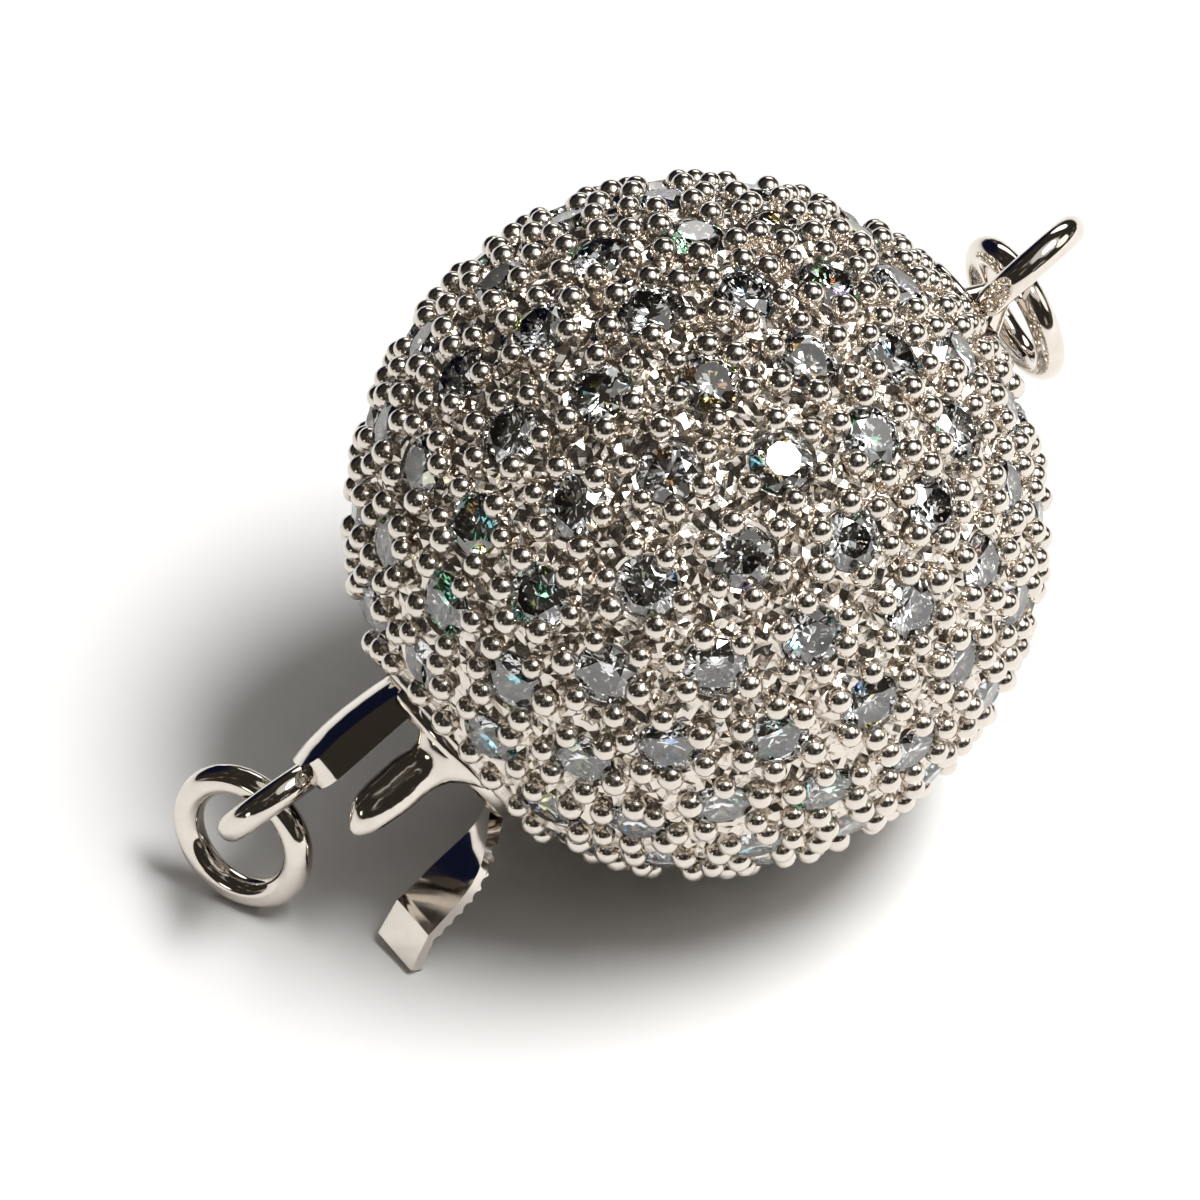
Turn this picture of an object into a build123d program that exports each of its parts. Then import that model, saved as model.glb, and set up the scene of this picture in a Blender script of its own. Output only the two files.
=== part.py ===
import os
from math import cos, radians, sin, sqrt

from build123d import *

# Ball clasp, lying on a table. Lengths in millimetres.
# Own axes while building: X runs along the clasp from the ball towards the tongue,
# Z points to the side that is seen, Y completes them. Angles round X start at Z and turn to Y.

# Rest position
AXIS_DOWN = 29.4
ROLL = 140.2

# Ball
BALL_R = 6.8
BALL_INNER_R = 5.82
CAVITY_BACK = 0.11
END_PLATE_R = 0.80
END_PLATE_BACK = -6.62
END_PLATE_FRONT = -6.98

# Mouth and collar
MOUTH_R = 1.42
COLLAR_R = 1.86
COLLAR_BACK = 5.50
COLLAR_FRONT = 6.74
COLLAR_EDGE = 0.28
GROOVE_R = 2.10
GROOVE_FLOOR = 6.15
SLOT_PHI = 105.0
SLOT_TONGUE_W = 1.64
SLOT_TONGUE_REACH = 2.03
SLOT_LEAF_W = 1.04
SLOT_LEAF_REACH = 2.00

# Stones: one row for each ring of the field
STONE_D = 1.25
STONE_TABLE_D = 0.72
STONE_SIDES = 8
STONE_GIRDLE_AT = 6.57
STONE_GIRDLE = 0.03
STONE_CROWN = 0.18
STONE_PAVILION = 0.52
SEAT_GAP = 0.03
STONE_RINGS = [
    {"from_mouth": 28.8, "count": 10, "first": 8.0},
    {"from_mouth": 44.6, "count": 14, "first": -1.0},
    {"from_mouth": 60.4, "count": 18, "first": 10.0},
    {"from_mouth": 76.2, "count": 19, "first": 21.2},
    {"from_mouth": 92.0, "count": 19, "first": 28.0},
    {"from_mouth": 107.8, "count": 19, "first": 1.4},
    {"from_mouth": 123.6, "count": 18, "first": 10.0},
    {"from_mouth": 139.4, "count": 14, "first": 1.0},
    {"from_mouth": 155.2, "count": 10, "first": 17.0},
]

# Wire: loops and jump rings
WIRE_D = 0.60
RING_OD = 3.14
END_LOOP_OD = 2.80
END_LOOP_CENTRE = (-8.20, 0.50, 0.0)
TONGUE_LOOP_OD = 2.50
TONGUE_LOOP_CENTRE = (9.78, -1.46, 0.05)
TONGUE_LOOP_SLOPE = 6.6
TONGUE_RING_CENTRE = (10.70, -1.30, -1.05)
TONGUE_RING_TURN = 45.0
BALL_RING_CENTRE = (-7.50, 0.93, -1.52)
BALL_RING_LEAN = 12.7
BALL_RING_TURN = 74.0

# Guard petal: its sections, with the height of its outer face above the clasp's axis
PETAL_SECTIONS = [
    {"x": 6.40, "low": -0.95, "high": 1.10, "top": 1.84, "thick": 0.44},
    {"x": 6.60, "low": -0.72, "high": 1.00, "top": 1.80, "thick": 0.46},
    {"x": 6.75, "low": -0.58, "high": 0.80, "top": 1.73, "thick": 0.52},
    {"x": 6.90, "low": -0.47, "high": 0.66, "top": 1.64, "thick": 0.58},
    {"x": 7.05, "low": -0.43, "high": 0.56, "top": 1.56, "thick": 0.62},
    {"x": 7.30, "low": -0.48, "high": 0.48, "top": 1.52, "thick": 0.66},
    {"x": 7.80, "low": -0.50, "high": 0.46, "top": 1.51, "thick": 0.66},
    {"x": 8.30, "low": -0.48, "high": 0.42, "top": 1.48, "thick": 0.61},
    {"x": 8.58, "low": -0.41, "high": 0.37, "top": 1.42, "thick": 0.54},
    {"x": 8.82, "low": -0.25, "high": 0.29, "top": 1.30, "thick": 0.41},
    {"x": 8.96, "low": -0.11, "high": 0.20, "top": 1.19, "thick": 0.26},
    {"x": 9.02, "low": -0.02, "high": 0.12, "top": 1.10, "thick": 0.12},
]

# Tongue: seen from the side, up is the thumb tab's side
BAR_W = 1.50
BAR_INNER = 1.13
BAR_CAMBER_R = 1.77
BAR_SECTIONS = [
    {"x": 6.20, "outer": 1.76},
    {"x": 7.00, "outer": 1.86},
    {"x": 8.00, "outer": 1.92},
    {"x": 8.98, "outer": 1.80},
]
BAR_CORNER_R = 0.55
LEG_OUTER = 1.65
LEG_T = 0.36
PIN_X = 2.50
PIN_R = 0.36

# Spring leaf: hook round the tongue's fold, arm and thumb tab
HOOK_GAP = 0.05
HOOK_T = 0.30
HOOK_FROM = 30.0
HOOK_TO = 245.0
ARM_W = 0.75
ARM_T = 0.34
ARM_END_X = 6.30
ARM_END_UP = 1.50
TAB_SECTIONS = [
    {"x": 6.30, "y": 1.449, "z": -0.388, "face": 105.0, "wide": 0.75, "thick": 0.34},
    {"x": 6.90, "y": 1.72, "z": -0.46, "face": 106.0, "wide": 0.78, "thick": 0.34},
    {"x": 7.40, "y": 1.95, "z": -0.42, "face": 119.0, "wide": 1.12, "thick": 0.29},
    {"x": 8.00, "y": 2.08, "z": -0.34, "face": 131.0, "wide": 1.24, "thick": 0.28},
    {"x": 8.70, "y": 2.15, "z": -0.30, "face": 137.0, "wide": 1.22, "thick": 0.28},
    {"x": 9.25, "y": 2.18, "z": -0.29, "face": 141.0, "wide": 1.20, "thick": 0.28},
]
TAB_TIP = {"x": 9.88, "y": 2.42, "z": -0.67, "face": 146.0, "wide": 1.18, "thick": 0.28}
TAB_TIP_SLANT = 38.0
RIB_COUNT = 9
RIB_FIRST_X = 7.15
RIB_PITCH = 0.29
RIB_R = 0.13
RIB_DEPTH = 0.075


def around(radius, angle):
    """Point of a circle round the clasp's axis, as its Y and Z."""
    return radius * sin(radians(angle)), radius * cos(radians(angle))


def side_plane():
    """Plane with the thumb tab's side up, X along the clasp and Y across it."""
    y, z = around(1.0, SLOT_PHI)
    return Plane(origin=(0, 0, 0), x_dir=(1, 0, 0), z_dir=(0, y, z))


def wire_ring(outer_d, centre, normal):
    """Ring of round wire."""
    middle = (outer_d - WIRE_D) / 2
    ring = Torus(middle, WIRE_D / 2)
    return Plane(origin=centre, z_dir=normal).location * ring


def stone_places():
    """One place for each stone, its Z pointing straight out of the ball."""
    places = []
    for row, ring in enumerate(STONE_RINGS):
        theta = radians(ring["from_mouth"])
        for number in range(ring["count"]):
            angle = radians(ring["first"] + 360.0 * number / ring["count"])
            out = (cos(theta), sin(theta) * sin(angle), sin(theta) * cos(angle))
            along = (-sin(theta), cos(theta) * sin(angle), cos(theta) * cos(angle))
            plane = Plane(origin=(0, 0, 0), x_dir=along, z_dir=out)
            places.append(plane.location * Rot(0, 0, (17 * row + 29 * number) % 45))
    return places


def brilliant():
    """Round brilliant: table, crown facets, girdle and pavilion facets."""
    low = Pos(0, 0, STONE_GIRDLE_AT) * RegularPolygon(STONE_D / 2, STONE_SIDES)
    high = Pos(0, 0, STONE_GIRDLE) * low
    table = Pos(0, 0, STONE_GIRDLE_AT + STONE_GIRDLE + STONE_CROWN) * RegularPolygon(
        STONE_TABLE_D / 2, STONE_SIDES
    )
    girdle = extrude(low, amount=STONE_GIRDLE, dir=(0, 0, 1))
    crown = loft([high, table], ruled=True)
    pavilion = loft([low, Vertex(0, 0, STONE_GIRDLE_AT - STONE_PAVILION)], ruled=True)
    return (pavilion + girdle + crown).solids()[0]


def seat():
    """Pocket of one stone: its outline with a gap all round, over a point."""
    radius = STONE_D / 2 + SEAT_GAP
    base = STONE_GIRDLE_AT - 0.01
    rim = Pos(0, 0, base) * RegularPolygon(radius, STONE_SIDES)
    point = Vertex(0, 0, base - radius * STONE_PAVILION / (STONE_D / 2))
    wall = extrude(rim, amount=7.4 - base, dir=(0, 0, 1))
    return (loft([rim, point], ruled=True) + wall).solids()[0]


def section(row, slant=0.0):
    """Rectangle across the thumb tab, its long side across the strip."""
    y, z = around(1.0, row["face"])
    across = Vector(0, z * -1, y)
    out = Vector(0, y, z)
    along = Vector(cos(radians(slant)), 0, 0) + out * sin(radians(slant))
    plane = Plane(origin=(row["x"], row["y"], row["z"]), x_dir=across, z_dir=along)
    return plane * Rectangle(row["wide"], row["thick"])


def tab_row_at(x):
    """Row of the thumb tab at a place between two given rows."""
    rows = TAB_SECTIONS + [TAB_TIP]
    before = [row for row in rows if row["x"] <= x][-1]
    after = [row for row in rows if row["x"] > x][0]
    share = (x - before["x"]) / (after["x"] - before["x"])
    return {name: before[name] + share * (after[name] - before[name]) for name in before}


def rib_groove(x, slant):
    """Round groove across the tab's outer face."""
    row = tab_row_at(x)
    y, z = around(1.0, row["face"])
    across = Vector(0, z * -1, y)
    out = Vector(0, y, z) * cos(radians(slant)) - Vector(1, 0, 0) * sin(radians(slant))
    centre = Vector(row["x"], row["y"], row["z"]) + out * (row["thick"] / 2 + RIB_R - RIB_DEPTH)
    return Plane(origin=centre, x_dir=out, z_dir=across) * Cylinder(RIB_R, 2.2)


def make_ball_setting(places):
    """Hollow ball, thicker round its mouth, with seats, collar, petal, end plate and loop."""
    ball = Sphere(BALL_R) - Pos(-CAVITY_BACK, 0, 0) * Sphere(BALL_INNER_R)
    along = Plane.YZ
    upright = (Align.CENTER, Align.CENTER, Align.MIN)
    groove = along.offset(GROOVE_FLOOR) * Cylinder(GROOVE_R, 2.0, align=upright)
    ball = ball - groove
    collar_length = COLLAR_FRONT - COLLAR_BACK
    collar = along.offset(COLLAR_BACK) * Cylinder(COLLAR_R, collar_length, align=upright)
    collar = fillet(collar.edges().sort_by(Axis.X)[-1:], COLLAR_EDGE)
    body = ball + collar
    petal_sections = []
    for row in PETAL_SECTIONS:
        wide = (row["high"] - row["low"]) / 2
        centre = (row["x"], (row["high"] + row["low"]) / 2, row["top"] - row["thick"] / 2)
        plane = Plane(origin=centre, x_dir=(0, 1, 0), z_dir=(1, 0, 0))
        petal_sections.append(plane * Ellipse(wide, row["thick"] / 2))
    petal = loft(petal_sections)
    bore = along.offset(COLLAR_BACK - 1) * Cylinder(MOUTH_R, 3.0, align=upright)
    body = body - bore
    side = side_plane()
    deep = COLLAR_FRONT - COLLAR_BACK + 2
    tongue_slot = side.location * Pos((COLLAR_BACK - 1 + deep / 2), 0, -SLOT_TONGUE_REACH / 2) * Box(
        deep, SLOT_TONGUE_W, SLOT_TONGUE_REACH
    )
    leaf_slot = side.location * Pos((COLLAR_BACK - 1 + deep / 2), 0, SLOT_LEAF_REACH / 2) * Box(
        deep, SLOT_LEAF_W, SLOT_LEAF_REACH
    )
    body = body - [tongue_slot, leaf_slot]
    body = body + petal
    plate_length = END_PLATE_BACK - END_PLATE_FRONT
    plate = along.offset(END_PLATE_FRONT) * Cylinder(END_PLATE_R, plate_length + 0.3, align=upright)
    plate = fillet(plate.edges().sort_by(Axis.X)[:1], 0.12)
    solder_at = (END_PLATE_FRONT + 0.1, END_LOOP_CENTRE[1], END_LOOP_CENTRE[2])
    solder = Plane(origin=solder_at, z_dir=(-1, 0, 0)) * Cone(0.62, 0.30, 0.55, align=upright)
    loop = wire_ring(END_LOOP_OD, END_LOOP_CENTRE, (0, 1, 0))
    body = body + plate + solder + loop
    seats = [place * seat() for place in places]
    return body - seats


def make_stones(places):
    """Every stone of the field."""
    stone = brilliant()
    return Compound(children=[place * stone for place in places])


def bar_section(row):
    """Section across the bar: flat inside and at the sides, cambered outside."""
    half = BAR_W / 2
    centre = row["outer"] - BAR_CAMBER_R
    edge = centre + sqrt(BAR_CAMBER_R ** 2 - half ** 2)
    plane = Plane(origin=(row["x"], 0, 0), x_dir=(0, 1, 0), z_dir=(1, 0, 0))
    outline = Polyline((-half, -edge), (-half, -BAR_INNER), (half, -BAR_INNER), (half, -edge))
    outline = outline + ThreePointArc((half, -edge), (0, -row["outer"]), (-half, -edge))
    return plane * make_face(outline)


def make_tongue_base():
    """Bar with its leg to the fold and its wire loop."""
    side = side_plane()
    draw = Plane.XZ
    bar = loft([bar_section(row) for row in BAR_SECTIONS])
    end = bar.faces().sort_by(Axis.X)[-1]
    corners = end.edges().sort_by(Axis.Y)
    bar = fillet([corners[0], corners[-1]], BAR_CORNER_R)
    leg_end = BAR_SECTIONS[0]["x"] + 0.3
    leg_outline = draw * Polyline(
        (PIN_X, -PIN_R), (leg_end, -LEG_OUTER), (leg_end, -LEG_OUTER + LEG_T),
        (PIN_X, -PIN_R + LEG_T), close=True
    )
    leg = extrude(make_face(leg_outline), amount=BAR_W / 2 - 0.1, both=True)
    pin = Pos(PIN_X, 0, 0) * Rot(90, 0, 0) * Cylinder(PIN_R, BAR_W - 0.2)
    body = side.location * (bar + leg + pin)
    slope = radians(TONGUE_LOOP_SLOPE)
    loop = wire_ring(TONGUE_LOOP_OD, TONGUE_LOOP_CENTRE, (sin(slope), cos(slope), 0))
    return body + loop


def make_spring_leaf():
    """Leaf hooked round the fold, its arm and the ribbed thumb tab."""
    side = side_plane()
    draw = Plane.XZ
    inner = PIN_R + HOOK_GAP
    outer = inner + HOOK_T
    first = radians(HOOK_FROM)
    last = radians(HOOK_TO)
    middle = (first + last) / 2
    hook_outline = draw * Pos(PIN_X, 0) * (
        ThreePointArc(
            (outer * cos(first), outer * sin(first)),
            (outer * cos(middle), outer * sin(middle)),
            (outer * cos(last), outer * sin(last)),
        )
        + Line((outer * cos(last), outer * sin(last)), (inner * cos(last), inner * sin(last)))
        + ThreePointArc(
            (inner * cos(last), inner * sin(last)),
            (inner * cos(middle), inner * sin(middle)),
            (inner * cos(first), inner * sin(first)),
        )
        + Line((inner * cos(first), inner * sin(first)), (outer * cos(first), outer * sin(first)))
    )
    hook = extrude(make_face(hook_outline), amount=ARM_W / 2, both=True)
    arm_outline = draw * Polyline(
        (PIN_X, inner), (PIN_X + 0.3, inner + 0.02), (ARM_END_X, ARM_END_UP - ARM_T / 2),
        (ARM_END_X, ARM_END_UP + ARM_T / 2), (PIN_X, outer), close=True
    )
    arm = extrude(make_face(arm_outline), amount=ARM_W / 2, both=True)
    body = side.location * (hook + arm)
    rows = [section(row) for row in TAB_SECTIONS]
    tab = loft(rows)
    tip = loft([rows[-1], section(TAB_TIP, TAB_TIP_SLANT)], ruled=True)
    grooves = []
    for number in range(RIB_COUNT):
        x = RIB_FIRST_X + number * RIB_PITCH
        grooves.append(rib_groove(x, TAB_TIP_SLANT if x > TAB_SECTIONS[-1]["x"] else 0.0))
    return (body + tab + tip) - grooves


def make_tongue_ring():
    """Jump ring in the tongue's loop, standing on the table."""
    turn = radians(TONGUE_RING_TURN)
    return wire_ring(RING_OD, TONGUE_RING_CENTRE, (sin(turn), 0, cos(turn)))


def make_ball_ring():
    """Jump ring in the fixed loop, hanging beside the ball."""
    lean = radians(BALL_RING_LEAN)
    turn = radians(BALL_RING_TURN)
    long_way = Vector(sin(lean), cos(lean), 0)
    short_way = Vector(cos(lean) * cos(turn), -sin(lean) * cos(turn), -sin(turn))
    return wire_ring(RING_OD, BALL_RING_CENTRE, long_way.cross(short_way))


def rest_plane():
    """Where the clasp's own axes lie on the table."""
    down = radians(AXIS_DOWN)
    roll = radians(ROLL)
    axis = Vector(-cos(down), 0, -sin(down))
    below = Vector(sin(down), 0, -cos(down))
    near = Vector(0, -1, 0)
    seen = below * cos(roll) + near * sin(roll)
    return Plane(origin=(0, 0, BALL_R), x_dir=axis, z_dir=seen)


def main():
    places = stone_places()
    pieces = {
        "ball_setting": make_ball_setting(places),
        "pave_stones": make_stones(places),
        "tongue_base": make_tongue_base(),
        "spring_leaf": make_spring_leaf(),
        "tongue_ring": make_tongue_ring(),
        "ball_ring": make_ball_ring(),
    }
    rest = rest_plane().location
    placed = {name: rest * piece for name, piece in pieces.items()}
    box = Compound([piece for piece in placed.values()]).bounding_box()
    middle = box.center()
    shift = Pos(-middle.X, -middle.Y, -box.min.Z)
    os.makedirs("parts", exist_ok=True)
    for name, piece in placed.items():
        moved = shift * piece
        export_step(moved, f"parts/{name}.step")
        low = piece.bounding_box().min.Z
        print(name, len(moved.solids()), round(sum(s.volume for s in moved.solids()), 3), round(low, 3))
    print("shift", -middle.X, -middle.Y, -box.min.Z)
    print("size", box.size)


main()
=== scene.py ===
import random
from math import cos, pi, radians, sin, sqrt

import bmesh
import bpy
from mathutils import Matrix, Vector
from mathutils.kdtree import KDTree


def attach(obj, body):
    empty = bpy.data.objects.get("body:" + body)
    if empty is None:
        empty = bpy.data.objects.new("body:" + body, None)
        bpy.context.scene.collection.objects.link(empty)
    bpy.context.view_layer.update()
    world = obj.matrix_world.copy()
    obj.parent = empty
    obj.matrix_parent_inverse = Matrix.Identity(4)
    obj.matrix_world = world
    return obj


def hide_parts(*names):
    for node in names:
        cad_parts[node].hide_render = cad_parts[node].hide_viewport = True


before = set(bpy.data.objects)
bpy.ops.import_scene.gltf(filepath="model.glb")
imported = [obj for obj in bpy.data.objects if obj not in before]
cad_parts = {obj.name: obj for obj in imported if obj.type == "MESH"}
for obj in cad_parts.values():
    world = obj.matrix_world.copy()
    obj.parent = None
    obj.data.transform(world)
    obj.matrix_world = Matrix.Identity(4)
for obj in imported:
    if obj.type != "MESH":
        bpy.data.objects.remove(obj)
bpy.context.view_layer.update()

MM = 0.001
UP = Vector((0, 0, 1))

# The clasp's own axes in the shared frame: ALONG runs to the tongue's end, SEEN to the side that
# the photograph shows, and ACROSS completes them.
AXIS_DOWN = radians(29.4)
ROLL = radians(140.2)
BALL_R = 6.80 * MM
BALL_CENTRE = Vector((0.793 * MM, -0.0011 * MM, BALL_R))
ALONG = Vector((-cos(AXIS_DOWN), 0, -sin(AXIS_DOWN)))
BELOW = Vector((sin(AXIS_DOWN), 0, -cos(AXIS_DOWN)))
SEEN = BELOW * cos(ROLL) + Vector((0, -1, 0)) * sin(ROLL)
ACROSS = SEEN.cross(ALONG)

# Camera, and the level directions to its right and towards it
PIXELS = 1200
PIXELS_PER_MM = 51.1
BALL_PIXEL = (697, 525)
CAMERA_SIDE = radians(-120.5)
CAMERA_UP = radians(42.0)
CAMERA_AWAY = 0.60
SENSOR_MM = 36.0
CAMERA_SEES = (0.01, 10.0)
RIGHT = Vector((-sin(CAMERA_SIDE), cos(CAMERA_SIDE), 0))
NEAR = Vector((cos(CAMERA_SIDE), sin(CAMERA_SIDE), 0))

# White gold, and its three finishes: a higher scale makes finer marks
WHITE_GOLD = (0.75, 0.693, 0.627)
MARK_TONES = ((0.3, 0.90), (0.7, 1.0))
MARK_DETAIL = 4.0
MARK_FINENESS = 0.6
MARK_HEIGHT = 0.02 * MM
ROUGHNESS_SHARES = (0.6, 1.4)
POLISHED = {"name": "polished_white_gold", "roughness": 0.08, "scale": 3000.0, "depth": 0.02}
ENGRAVED = {"name": "cut_white_gold", "roughness": 0.15, "scale": 6000.0, "depth": 0.6}
BEADED = {"name": "bead_white_gold", "roughness": 0.17, "scale": 5000.0, "depth": 0.10}

# Clear stone: a faint tint, and painted fire: the share of its small cells painted in one pure
# colour, standing in for the coloured flashes of light that the stone splits
STONE_IOR = 2.417
TINT_SCALE = 900.0
TINT_DETAIL = 1.0
TINT_COOL = (0.86, 0.91, 0.97)
TINT_WARM = (1.0, 0.99, 0.96)
PAINTED_FIRE_SCALE = 3200.0
PAINTED_FIRE_HUES = 0.74
PAINTED_FIRE_STRENGTH = 0.85
PAINTED_FIRE_SHARE = 0.07

# Sockets of a Mix node between two colours
MIX_FIRST = 6
MIX_SECOND = 7
MIX_RESULT = 2

# White matt card under the clasp
CARD_HALF = 0.6
CARD_SQUARES = 8
CARD_TONE_SCALE = 60.0
CARD_TONE_DETAIL = 3.0
CARD_TONES = (0.86, 0.90)
CARD_ROUGHNESS = 0.9

# Stones: their cut, how far they lean, their spin in degrees and their rings round the axis
MAINS = 8
STONE_R = 0.625 * MM
STONE_TABLE_R = 0.36 * MM
GIRDLE_AT = 6.57 * MM
GIRDLE_H = 0.03 * MM
CROWN_H = 0.18 * MM
PAVILION_H = 0.52 * MM
LOWER_SHARE = 0.23
STONE_SEED = 23
STONE_TILT = radians(3.0)
FLASH_TILT = radians(5.0)
FLASH_SPOT = {"right": 0.24, "near": 0.50, "up": 0.83}
SPIN_BY_RING = 17
SPIN_BY_STONE = 29
SPIN_BELOW = 45
STONE_RINGS = [
    {"from_mouth": 28.8, "count": 10, "first": 8.0},
    {"from_mouth": 44.6, "count": 14, "first": -1.0},
    {"from_mouth": 60.4, "count": 18, "first": 10.0},
    {"from_mouth": 76.2, "count": 19, "first": 21.2},
    {"from_mouth": 92.0, "count": 19, "first": 28.0},
    {"from_mouth": 107.8, "count": 19, "first": 1.4},
    {"from_mouth": 123.6, "count": 18, "first": 10.0},
    {"from_mouth": 139.4, "count": 14, "first": 1.0},
    {"from_mouth": 155.2, "count": 10, "first": 17.0},
]

# Skin of the ball between the stones, cut back by the graver. MOUTH_CLEAR and PLATE_CLEAR are
# differences of cosines.
SKIN_SEED = 5
SKIN_R = 6.60 * MM
SKIN_POINTS = 26000
SKIN_CUT = 0.080 * MM
SEAT_SIDES = 24
SEAT_RIM_R = 0.71 * MM
SEAT_RIM_AT = 6.66 * MM
SEAT_LEDGE_R = 0.64 * MM
SEAT_LEDGE_AT = 6.585 * MM
SEAT_DEEP_R = 0.30 * MM
SEAT_DEEP_AT = 6.28 * MM
SEAT_BOTTOM_AT = 6.015 * MM
SEAT_CLEAR = 0.05 * MM
MOUTH_SIDES = 72
MOUTH_EDGE_R = 2.27 * MM
MOUTH_CLEAR = 0.003
PLATE_SIDES = 40
PLATE_EDGE_R = 0.88 * MM
PLATE_SIDE_R = 0.79 * MM
PLATE_SIDE_AT = 6.80 * MM
PLATE_CLEAR = 0.0015

# Polished lip where the field of stones ends at the mouth
MOUTH_LIP = [
    {"radius": 2.25 * MM, "along": 6.34 * MM},
    {"radius": 2.21 * MM, "along": 6.42 * MM},
    {"radius": 2.16 * MM, "along": 6.44 * MM},
    {"radius": 2.11 * MM, "along": 6.40 * MM},
    {"radius": 2.10 * MM, "along": 6.30 * MM},
    {"radius": 2.10 * MM, "along": 6.13 * MM},
]

# Plain skin of the solid that ball_skin takes the place of
BARE_FROM = 5.95 * MM
BARE_TO = 6.81 * MM
COLLAR_OUT = 2.08 * MM

# Raised grains: between the stones, and in rows at both ends of the field. GRAIN_NUDGE is a share
# of the ball's radius, and GRAIN_LEVELS are degrees above a grain's widest ring.
GRAIN_SEED = 14
GRAIN_R = 0.275 * MM
GRAIN_SIZES = (0.87, 1.07)
GRAIN_TOP = 7.00 * MM
GRAIN_TOP_SPREAD = 0.03 * MM
GRAIN_FROM_STONE = 0.79 * MM
GRAIN_NUDGE = 0.013
GRAIN_NECK_AT = 6.45 * MM
GRAIN_NECK_SHARE = 0.95
GRAIN_SIDES = 14
GRAIN_LEVELS = (-50, -22, 0, 22, 44, 66)
WIDEST_TRIANGLE = 1.60 * MM
EDGE_ROWS = [
    {"from_mouth": 21.9, "count": 20, "first": 8.0},
    {"from_mouth": 162.2, "count": 20, "first": 17.0},
    {"from_mouth": 166.9, "count": 15, "first": 0.0},
    {"from_mouth": 171.6, "count": 10, "first": 12.0},
]

# Key lamp: long and soft, flat overhead
KEY_HEIGHT = 0.36
KEY = {"name": "key", "right": 0.483, "near": 0.094, "up": 1.0, "size": (0.156, 0.256),
       "radiance": 21.6, "colour": (1.0, 0.995, 0.985)}

# Dim lamps at the sides and overhead, by their direction as the camera sees it
DIM_AWAY = 0.45
DIM_LAMPS = [
    {"name": "right_panel", "right": 1.0, "near": -0.10, "up": 0.50, "size": (0.26, 0.22),
     "radiance": 1.5, "colour": (1.0, 0.98, 0.95)},
    {"name": "low_left", "right": -0.77, "near": 0.62, "up": 0.16, "size": (0.07, 0.07),
     "radiance": 3.2, "colour": (1.0, 1.0, 0.80)},
    {"name": "far_panel", "right": 0.15, "near": -1.0, "up": 0.55, "size": (0.26, 0.16),
     "radiance": 2.5, "colour": (1.0, 0.99, 0.97)},
    {"name": "soft_sky", "right": 0.38, "near": 0.14, "up": 1.0, "size": (0.50, 0.50),
     "radiance": 0.72, "colour": (1.0, 0.995, 0.975)},
]

# Dim room round the table: lighter patches in the dark, and a dark blue side
PATCH_SCALE = 3.1
PATCH_DETAIL = 2.5
ROOM_DARK = (0.56, (0.034, 0.029, 0.024))
ROOM_MIDDLE = (0.62, (0.075, 0.064, 0.053))
ROOM_LIGHT = (0.70, (0.50, 0.48, 0.44))
BLUE_SPOT = {"right": -0.60, "near": -0.76, "up": 0.24}
BLUE_FROM = 0.86
BLUE_TO = 0.95
BLUE = (0.006, 0.008, 0.024)


def as_seen(row):
    """Direction from how far it goes to the camera's right, near to the camera and up."""
    return RIGHT * row["right"] + NEAR * row["near"] + UP * row["up"]


def direction(from_mouth, angle):
    """Unit vector from the ball's centre, by its angle from the mouth and round the axis."""
    ring = SEEN * cos(angle) + ACROSS * sin(angle)
    return ALONG * cos(from_mouth) + ring * sin(from_mouth)


def row_angles(row):
    """Angles round the axis of the stones or grains in one row."""
    return [radians(row["first"] + 360.0 * number / row["count"]) for number in range(row["count"])]


def full_turn(sides):
    """Even angles once round."""
    return [2 * pi * number / sides for number in range(sides)]


def new_object(name, bm, material):
    """Object of a finished mesh."""
    mesh = bpy.data.meshes.new(name)
    bm.to_mesh(mesh)
    bm.free()
    mesh.materials.append(material)
    obj = bpy.data.objects.new(name, mesh)
    bpy.context.scene.collection.objects.link(obj)
    return obj


def node_adder(tree):
    """Short ways to add a node with its values, and to link two sockets."""

    def add(kind, **values):
        node = tree.nodes.new(kind)
        for key, value in values.items():
            if hasattr(node, key):
                setattr(node, key, value)
            else:
                node.inputs[key.replace("_", " ")].default_value = value
        return node

    return add, tree.links.new


def new_material(name):
    """New material, its shader, and short ways to add nodes and links."""
    material = bpy.data.materials.new(name)
    material.use_nodes = True
    add, link = node_adder(material.node_tree)
    return material, material.node_tree.nodes["Principled BSDF"], add, link


def set_ramp(node, low, high):
    """Both ends of a colour ramp, each with its position and colour."""
    for element, (position, colour) in zip(node.color_ramp.elements, (low, high)):
        element.position = position
        element.color = (*colour, 1)


def metal_material(finish):
    """White gold with the fine marks of its finish."""
    material, shader, add, link = new_material(finish["name"])
    place = add("ShaderNodeTexCoord")
    marks = add("ShaderNodeTexNoise", Scale=finish["scale"], Detail=MARK_DETAIL)
    marks.inputs["Roughness"].default_value = MARK_FINENESS
    link(place.outputs["Object"], marks.inputs["Vector"])
    tone = add("ShaderNodeValToRGB")
    set_ramp(tone, *[(at, [share * part for part in WHITE_GOLD]) for at, share in MARK_TONES])
    link(marks.outputs["Fac"], tone.inputs["Fac"])
    link(tone.outputs["Color"], shader.inputs["Base Color"])
    low, high = [finish["roughness"] * share for share in ROUGHNESS_SHARES]
    rough = add("ShaderNodeMapRange", To_Min=low, To_Max=high)
    link(marks.outputs["Fac"], rough.inputs["Value"])
    link(rough.outputs["Result"], shader.inputs["Roughness"])
    bump = add("ShaderNodeBump", Strength=finish["depth"], Distance=MARK_HEIGHT)
    link(marks.outputs["Fac"], bump.inputs["Height"])
    link(bump.outputs["Normal"], shader.inputs["Normal"])
    shader.inputs["Metallic"].default_value = 1.0
    return material


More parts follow.
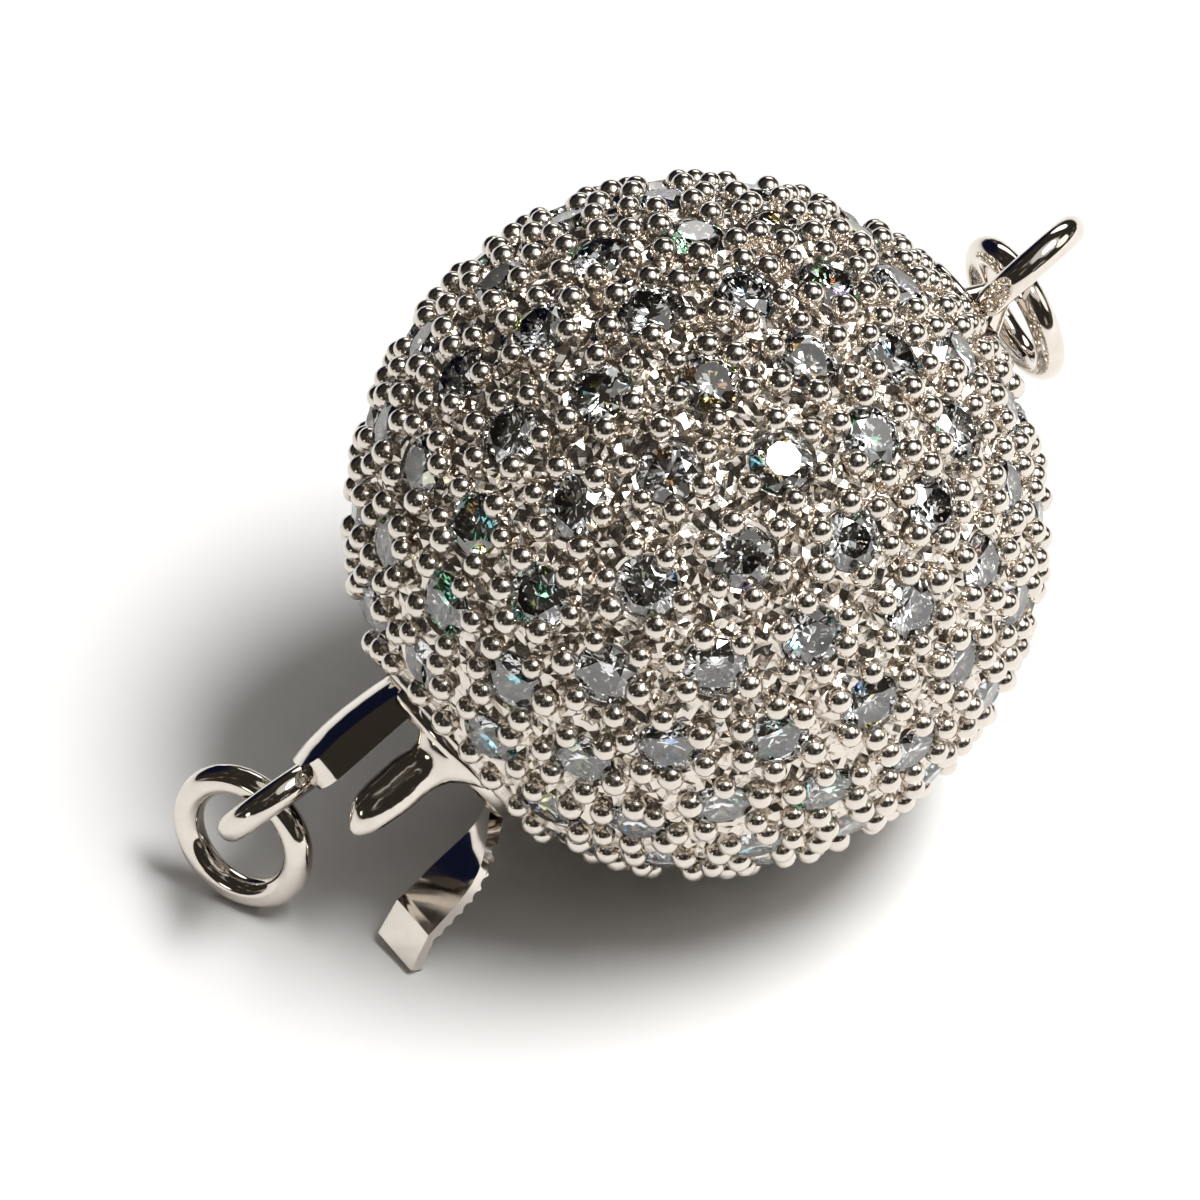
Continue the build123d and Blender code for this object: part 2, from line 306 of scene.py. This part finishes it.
def stone_material():
    """Clear cut stone, with a few cells painted in pure colour for its fire: painted flashes of
    split light.
    """
    material, shader, add, link = new_material("cut_stone")
    place = add("ShaderNodeTexCoord")
    tint = add("ShaderNodeTexNoise", Scale=TINT_SCALE, Detail=TINT_DETAIL)
    link(place.outputs["Object"], tint.inputs["Vector"])
    tone = add("ShaderNodeValToRGB")
    set_ramp(tone, (0.0, TINT_COOL), (1.0, TINT_WARM))
    link(tint.outputs["Fac"], tone.inputs["Fac"])
    # Painted fire: cells of pure colour in the stone's own colour stand in for coloured flashes of
    # split light
    cells = add("ShaderNodeTexVoronoi", Scale=PAINTED_FIRE_SCALE)
    link(place.outputs["Object"], cells.inputs["Vector"])
    parts = add("ShaderNodeSeparateColor")
    link(cells.outputs["Color"], parts.inputs["Color"])
    painted_fire_colour = add("ShaderNodeCombineColor", mode="HSV", Green=PAINTED_FIRE_STRENGTH, Blue=1.0)
    span = add("ShaderNodeMath", operation="MULTIPLY")
    span.inputs[1].default_value = PAINTED_FIRE_HUES
    link(parts.outputs["Red"], span.inputs[0])
    link(span.outputs["Value"], painted_fire_colour.inputs["Red"])
    few = add("ShaderNodeMath", operation="LESS_THAN")
    few.inputs[1].default_value = PAINTED_FIRE_SHARE
    link(parts.outputs["Green"], few.inputs[0])
    mixed = add("ShaderNodeMix", data_type="RGBA")
    link(few.outputs["Value"], mixed.inputs["Factor"])
    link(tone.outputs["Color"], mixed.inputs[MIX_FIRST])
    link(painted_fire_colour.outputs["Color"], mixed.inputs[MIX_SECOND])
    link(mixed.outputs[MIX_RESULT], shader.inputs["Base Color"])
    shader.inputs["Transmission Weight"].default_value = 1.0
    shader.inputs["Roughness"].default_value = 0.0
    shader.inputs["IOR"].default_value = STONE_IOR
    return material


def card_material():
    """White matt card with a faint tone in it."""
    material, shader, add, link = new_material("white_card")
    place = add("ShaderNodeTexCoord")
    tone = add("ShaderNodeTexNoise", Scale=CARD_TONE_SCALE, Detail=CARD_TONE_DETAIL)
    link(place.outputs["Object"], tone.inputs["Vector"])
    ramp = add("ShaderNodeValToRGB")
    set_ramp(ramp, (0.0, [CARD_TONES[0]] * 3), (1.0, [CARD_TONES[1]] * 3))
    link(tone.outputs["Fac"], ramp.inputs["Fac"])
    link(ramp.outputs["Color"], shader.inputs["Base Color"])
    shader.inputs["Roughness"].default_value = CARD_ROUGHNESS
    return material


def stone_places():
    """Place of each stone: origin at the ball's centre, Z straight out."""
    places = []
    for row, ring in enumerate(STONE_RINGS):
        from_mouth = radians(ring["from_mouth"])
        for number, angle in enumerate(row_angles(ring)):
            out = direction(from_mouth, angle)
            side = direction(from_mouth + pi / 2, angle)
            turn = Matrix((side, out.cross(side), out)).transposed().to_4x4()
            spin = radians((SPIN_BY_RING * row + SPIN_BY_STONE * number) % SPIN_BELOW)
            places.append(Matrix.Translation(BALL_CENTRE) @ turn @ Matrix.Rotation(spin, 4, "Z"))
    return places


def stone_outs(places):
    """Direction from the ball's centre to each stone."""
    return [(place.to_3x3() @ UP).normalized() for place in places]


def add_brilliant(bm, matrix):
    """Full round brilliant cut: table, stars, kites, girdle halves and pavilion."""
    step = pi / MAINS
    table_share = STONE_TABLE_R / STONE_R
    star_share = (table_share * cos(step) + 1.0) / 2
    star_h = CROWN_H * (1 - star_share * cos(step)) / (1 - table_share)
    lower_h = PAVILION_H * (1 - LOWER_SHARE * cos(step))
    top = GIRDLE_AT + GIRDLE_H

    def corner(share, number, height):
        angle = number * step
        spot = Vector((STONE_R * share * cos(angle), STONE_R * share * sin(angle), height))
        return bm.verts.new(matrix @ spot)

    table = [corner(table_share, 2 * k + 1, top + CROWN_H) for k in range(MAINS)]
    star = [corner(star_share, 2 * k, top + star_h) for k in range(MAINS)]
    girdle_top = [corner(1.0, k, top) for k in range(2 * MAINS)]
    girdle_low = [corner(1.0, k, GIRDLE_AT) for k in range(2 * MAINS)]
    lower = [corner(LOWER_SHARE, 2 * k, GIRDLE_AT - lower_h) for k in range(MAINS)]
    culet = corner(0.0, 0, GIRDLE_AT - PAVILION_H)
    bm.faces.new(table)
    for k in range(MAINS):
        after = (k + 1) % MAINS
        here = 2 * k
        right = here + 1
        left = (here - 1) % (2 * MAINS)
        bm.faces.new((star[k], table[k], table[k - 1]))
        bm.faces.new((star[k], girdle_top[right], star[after], table[k]))
        bm.faces.new((star[k], girdle_top[here], girdle_top[right]))
        bm.faces.new((star[k], girdle_top[left], girdle_top[here]))
        bm.faces.new((lower[k], girdle_low[right], girdle_low[here]))
        bm.faces.new((lower[k], girdle_low[here], girdle_low[left]))
        bm.faces.new((culet, lower[after], girdle_low[right], lower[k]))
    join_rings(bm, girdle_low, girdle_top, False)


def leaning(place, axis, angle):
    """Place of a stone that leans in its seat, about the middle of its girdle."""
    girdle = place @ Vector((0, 0, GIRDLE_AT))
    turn = Matrix.Rotation(angle, 4, axis)
    return Matrix.Translation(girdle) @ turn @ Matrix.Translation(-girdle) @ place


def make_stones(places, material):
    """Every stone of the field as one piece, each leaning a little, one of them to the lamp."""
    rng = random.Random(STONE_SEED)
    flash = as_seen(FLASH_SPOT).normalized()
    outs = stone_outs(places)
    nearest = max(range(len(outs)), key=lambda number: outs[number].dot(flash))
    bm = bmesh.new()
    for number, place in enumerate(places):
        spin = place.to_3x3() @ Matrix.Rotation(rng.uniform(0, 2 * pi), 3, "Z")
        axis = spin @ Vector((1, 0, 0))
        angle = rng.uniform(0, STONE_TILT)
        if number == nearest:
            axis = outs[number].cross(flash)
            angle = min(FLASH_TILT, outs[number].angle(flash))
        add_brilliant(bm, leaning(place, axis, angle))
    bmesh.ops.recalc_face_normals(bm, faces=bm.faces)
    stones = new_object("cut_stones", bm, material)
    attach(stones, "ball")
    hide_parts("pave_stones")


def field_triangles(outs):
    """Triangles of neighbouring stones, from the hull of their directions."""
    bm = bmesh.new()
    for out in outs:
        bm.verts.new(out)
    bm.verts.index_update()
    bmesh.ops.convex_hull(bm, input=bm.verts)
    bmesh.ops.triangulate(bm, faces=bm.faces)
    triangles = [[vert.co.copy() for vert in face.verts] for face in bm.faces]
    bm.free()
    return triangles


def grain_spots(places):
    """Direction of every grain: three in each gap between three stones, and the edge rows."""
    spots = []
    for corners in field_triangles(stone_outs(places)):
        middle = sum(corners, Vector()) / 3
        reach = max((corner - middle).length for corner in corners) * BALL_R
        if reach > WIDEST_TRIANGLE:
            continue
        for corner in corners:
            far = (middle - corner).length * BALL_R
            spots.append((corner + (middle - corner) * (GRAIN_FROM_STONE / far)).normalized())
    for row in EDGE_ROWS:
        for angle in row_angles(row):
            spots.append(direction(radians(row["from_mouth"]), angle))
    return spots


def join_rings(bm, first, second, smooth):
    """Band of faces between two rings with the same number of corners."""
    for number in range(len(first)):
        after = (number + 1) % len(first)
        corners = (first[number], first[after], second[after], second[number])
        bm.faces.new(corners).smooth = smooth


def close_ring(bm, ring, tip):
    """Smooth fan of faces from a ring to a point."""
    for number in range(len(ring)):
        bm.faces.new((ring[number], ring[(number + 1) % len(ring)], tip)).smooth = True


def add_grain(bm, out, radius, top):
    """Round bead of metal on a short neck that goes down into the ball."""
    side = out.orthogonal().normalized()
    other = out.cross(side)
    centre = BALL_CENTRE + out * (top - radius)
    neck = radius * cos(radians(GRAIN_LEVELS[0])) * GRAIN_NECK_SHARE
    levels = [(GRAIN_NECK_AT - (top - radius), neck)]
    for level in GRAIN_LEVELS:
        levels.append((radius * sin(radians(level)), radius * cos(radians(level))))
    rings = []
    for height, wide in levels:
        ring = []
        for angle in full_turn(GRAIN_SIDES):
            around = side * cos(angle) + other * sin(angle)
            ring.append(bm.verts.new(centre + out * height + around * wide))
        rings.append(ring)
    tip = bm.verts.new(centre + out * radius)
    bm.faces.new(list(reversed(rings[0])))
    for low, high in zip(rings, rings[1:]):
        join_rings(bm, low, high, True)
    close_ring(bm, rings[-1], tip)


def make_grains(places, material):
    """All raised grains as one piece, none of them below the table's level."""
    rng = random.Random(GRAIN_SEED)
    bm = bmesh.new()
    for spot in grain_spots(places):
        nudge = Vector([rng.uniform(-GRAIN_NUDGE, GRAIN_NUDGE) for _ in range(3)])
        out = (spot + nudge).normalized()
        top = GRAIN_TOP - rng.uniform(0, GRAIN_TOP_SPREAD)
        if out.z < 0:
            top = min(top, BALL_CENTRE.z / -out.z)
        add_grain(bm, out, GRAIN_R * rng.uniform(*GRAIN_SIZES), top)
    grains = new_object("raised_grains", bm, material)
    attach(grains, "ball")


def even_directions(count):
    """Directions spread evenly over the sphere on a spiral."""
    for number in range(count):
        height = 1 - (2 * number + 1) / count
        wide = sqrt(1 - height * height)
        angle = number * pi * (3 - sqrt(5))
        yield Vector((wide * cos(angle), wide * sin(angle), height))


def axis_ring(radius, along, sides):
    """Points of a ring round the clasp's axis, from the ball's centre."""
    ring = []
    for angle in full_turn(sides):
        ring.append(ALONG * along + (SEEN * cos(angle) + ACROSS * sin(angle)) * radius)
    return ring


def edge_ring(radius, towards, sides):
    """Directions of a ring in the skin round the clasp's axis, at one of its ends."""
    along = sqrt(SKIN_R * SKIN_R - radius * radius) * towards
    return [point.normalized() for point in axis_ring(radius, along, sides)]


def seat_ring(place, radius, height):
    """Points of a ring round a stone's middle line."""
    ring = []
    for angle in full_turn(SEAT_SIDES):
        ring.append(place @ Vector((radius * cos(angle), radius * sin(angle), height)))
    return ring


def rim_ring(place):
    """Directions of the ring where a stone's seat meets the skin."""
    height = sqrt(SKIN_R * SKIN_R - SEAT_RIM_R * SEAT_RIM_R)
    return [(point - BALL_CENTRE).normalized() for point in seat_ring(place, SEAT_RIM_R, height)]


def free_directions(places, mouth_at, plate_at):
    """Directions in the skin that are clear of the seats, the mouth and the end plate."""
    tree = KDTree(len(places))
    for number, out in enumerate(stone_outs(places)):
        tree.insert(out, number)
    tree.balance()
    clear = (SEAT_RIM_R + SEAT_CLEAR) / SKIN_R
    for out in even_directions(SKIN_POINTS):
        if plate_at + PLATE_CLEAR < out.dot(ALONG) < mouth_at - MOUTH_CLEAR:
            if tree.find(out)[2] > clear:
                yield out


def one_owner(face, owner):
    """True for a face that lies inside one ring."""
    owners = {owner.get(vert, -1) for vert in face.verts}
    return len(owners) == 1 and -1 not in owners


def add_seat(bm, place, rim):
    """Seat under a stone: from its rim over a narrow ledge down to a point."""
    ledge = [bm.verts.new(point) for point in seat_ring(place, SEAT_LEDGE_R, SEAT_LEDGE_AT)]
    deep = [bm.verts.new(point) for point in seat_ring(place, SEAT_DEEP_R, SEAT_DEEP_AT)]
    bottom = bm.verts.new(place @ Vector((0, 0, SEAT_BOTTOM_AT)))
    join_rings(bm, rim, ledge, False)
    join_rings(bm, ledge, deep, True)
    close_ring(bm, deep, bottom)


def add_axis_band(bm, last, radius, along, smooth):
    """Band from a ring to a new ring round the clasp's axis, which it returns."""
    points = axis_ring(radius, along, len(last))
    after = [bm.verts.new(BALL_CENTRE + point) for point in points]
    join_rings(bm, last, after, smooth)
    return after


def make_skin(places, material):
    """Ball's skin between the stones: hand-cut metal with a seat for every stone."""
    rng = random.Random(SKIN_SEED)
    mouth = edge_ring(MOUTH_EDGE_R, 1, MOUTH_SIDES)
    plate = edge_ring(PLATE_EDGE_R, -1, PLATE_SIDES)
    bm = bmesh.new()
    owner = {}
    rings = []
    for number, ring in enumerate([rim_ring(place) for place in places] + [mouth, plate]):
        verts = [bm.verts.new(out) for out in ring]
        rings.append(verts)
        for vert in verts:
            owner[vert] = number
    for out in free_directions(places, mouth[0].dot(ALONG), plate[0].dot(ALONG)):
        bm.verts.new(out)
    bmesh.ops.convex_hull(bm, input=bm.verts)
    caps = [face for face in bm.faces if one_owner(face, owner)]
    bmesh.ops.delete(bm, geom=caps, context="FACES_ONLY")
    for vert in bm.verts:
        if vert not in owner:
            height = SKIN_R + rng.uniform(-SKIN_CUT, SKIN_CUT)
        elif owner[vert] < len(places):
            height = SEAT_RIM_AT
        else:
            height = SKIN_R
        vert.co = BALL_CENTRE + vert.co * height
    for place, rim in zip(places, rings):
        add_seat(bm, place, rim)
    last = rings[-2]
    for row in MOUTH_LIP:
        last = add_axis_band(bm, last, row["radius"], row["along"], True)
    add_axis_band(bm, rings[-1], PLATE_SIDE_R, -PLATE_SIDE_AT, False)
    bmesh.ops.recalc_face_normals(bm, faces=bm.faces)
    skin = new_object("ball_skin", bm, material)
    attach(skin, "ball")


def is_bare(face):
    """True for a face of the ball's plain skin, away from the collar."""
    out = face.calc_center_median() - BALL_CENTRE
    along = out.dot(ALONG)
    across = (out - ALONG * along).length
    in_collar = along > 0 and across < COLLAR_OUT
    return BARE_FROM < out.length < BARE_TO and not in_collar


def make_setting(material):
    """Collar, petal, end plate and loop of the ball, without its plain skin."""
    bm = bmesh.new()
    bm.from_mesh(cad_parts["ball_setting"].data)
    bare = [face for face in bm.faces if is_bare(face)]
    bmesh.ops.delete(bm, geom=bare, context="FACES")
    setting = new_object("ball_frame", bm, material)
    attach(setting, "ball")
    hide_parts("ball_setting")


def dress_frame(material):
    """Material of the carried-over solids."""
    for name in ("tongue_base", "spring_leaf", "tongue_ring", "ball_ring"):
        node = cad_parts[name]
        node.data.materials.clear()
        node.data.materials.append(material)


def make_floor():
    """White card that the clasp lies on."""
    bm = bmesh.new()
    bmesh.ops.create_grid(bm, x_segments=CARD_SQUARES, y_segments=CARD_SQUARES, size=CARD_HALF)
    floor = new_object("floor", bm, card_material())


def area_light(row, away):
    """Lamp in its direction from the clasp, with an even brightness over its ellipse."""
    width, length = row["size"]
    data = bpy.data.lights.new(row["name"], "AREA")
    data.shape = "ELLIPSE"
    data.size = width
    data.size_y = length
    data.energy = row["radiance"] * pi * pi * width * length / 4
    data.color = row["colour"]
    lamp = bpy.data.objects.new(row["name"], data)
    lamp.location = BALL_CENTRE + as_seen(row).normalized() * away
    bpy.context.scene.collection.objects.link(lamp)
    return lamp


def make_room():
    """Dark warm room round the table: a few lighter patches, dark blue low at the far left."""
    world = bpy.data.worlds.new("dim_room")
    world.use_nodes = True
    add, link = node_adder(world.node_tree)
    place = add("ShaderNodeTexCoord")
    patches = add("ShaderNodeTexNoise", Scale=PATCH_SCALE, Detail=PATCH_DETAIL)
    link(place.outputs["Generated"], patches.inputs["Vector"])
    ramp = add("ShaderNodeValToRGB")
    set_ramp(ramp, ROOM_DARK, ROOM_LIGHT)
    middle = ramp.color_ramp.elements.new(ROOM_MIDDLE[0])
    middle.color = (*ROOM_MIDDLE[1], 1)
    link(patches.outputs["Fac"], ramp.inputs["Fac"])
    towards = add("ShaderNodeVectorMath", operation="DOT_PRODUCT")
    towards.inputs[1].default_value = as_seen(BLUE_SPOT).normalized()
    link(place.outputs["Generated"], towards.inputs[0])
    share = add("ShaderNodeMapRange", From_Min=BLUE_FROM, From_Max=BLUE_TO)
    link(towards.outputs["Value"], share.inputs["Value"])
    mixed = add("ShaderNodeMix", data_type="RGBA")
    link(share.outputs["Result"], mixed.inputs["Factor"])
    link(ramp.outputs["Color"], mixed.inputs[MIX_FIRST])
    mixed.inputs[MIX_SECOND].default_value = (*BLUE, 1)
    link(mixed.outputs[MIX_RESULT], world.node_tree.nodes["Background"].inputs["Color"])
    bpy.context.scene.world = world


def make_lights():
    """Key lamp, which faces straight down, and the dim lamps, which face the clasp."""
    key = area_light(KEY, KEY_HEIGHT * as_seen(KEY).length)
    key.rotation_euler = Matrix((RIGHT, UP.cross(RIGHT), UP)).transposed().to_euler()
    for row in DIM_LAMPS:
        lamp = area_light(row, DIM_AWAY)
        lamp.rotation_euler = as_seen(row).to_track_quat("Z", "Y").to_euler()


def make_camera():
    """Camera at the photograph's angle, far away so that lines stay parallel."""
    out = NEAR * cos(CAMERA_UP) + UP * sin(CAMERA_UP)
    up = out.cross(RIGHT)
    middle = PIXELS / 2
    aim = BALL_CENTRE.copy()
    aim += RIGHT * ((middle - BALL_PIXEL[0]) / PIXELS_PER_MM * MM)
    aim -= up * ((middle - BALL_PIXEL[1]) / PIXELS_PER_MM * MM)
    data = bpy.data.cameras.new("camera")
    data.sensor_width = SENSOR_MM
    data.sensor_fit = "HORIZONTAL"
    view_width = PIXELS / PIXELS_PER_MM * MM
    data.lens = data.sensor_width * CAMERA_AWAY / view_width
    data.clip_start, data.clip_end = CAMERA_SEES
    camera = bpy.data.objects.new("camera", data)
    camera.location = aim + out * CAMERA_AWAY
    camera.rotation_euler = Matrix((RIGHT, up, out)).transposed().to_euler()
    bpy.context.scene.collection.objects.link(camera)
    bpy.context.scene.camera = camera


def main():
    """Dress the clasp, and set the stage."""
    polished = metal_material(POLISHED)
    places = stone_places()
    dress_frame(polished)
    make_setting(polished)
    make_skin(places, metal_material(ENGRAVED))
    make_stones(places, stone_material())
    make_grains(places, metal_material(BEADED))
    make_floor()
    make_room()
    make_lights()
    make_camera()
    bpy.context.scene.view_settings.view_transform = "Standard"


main()
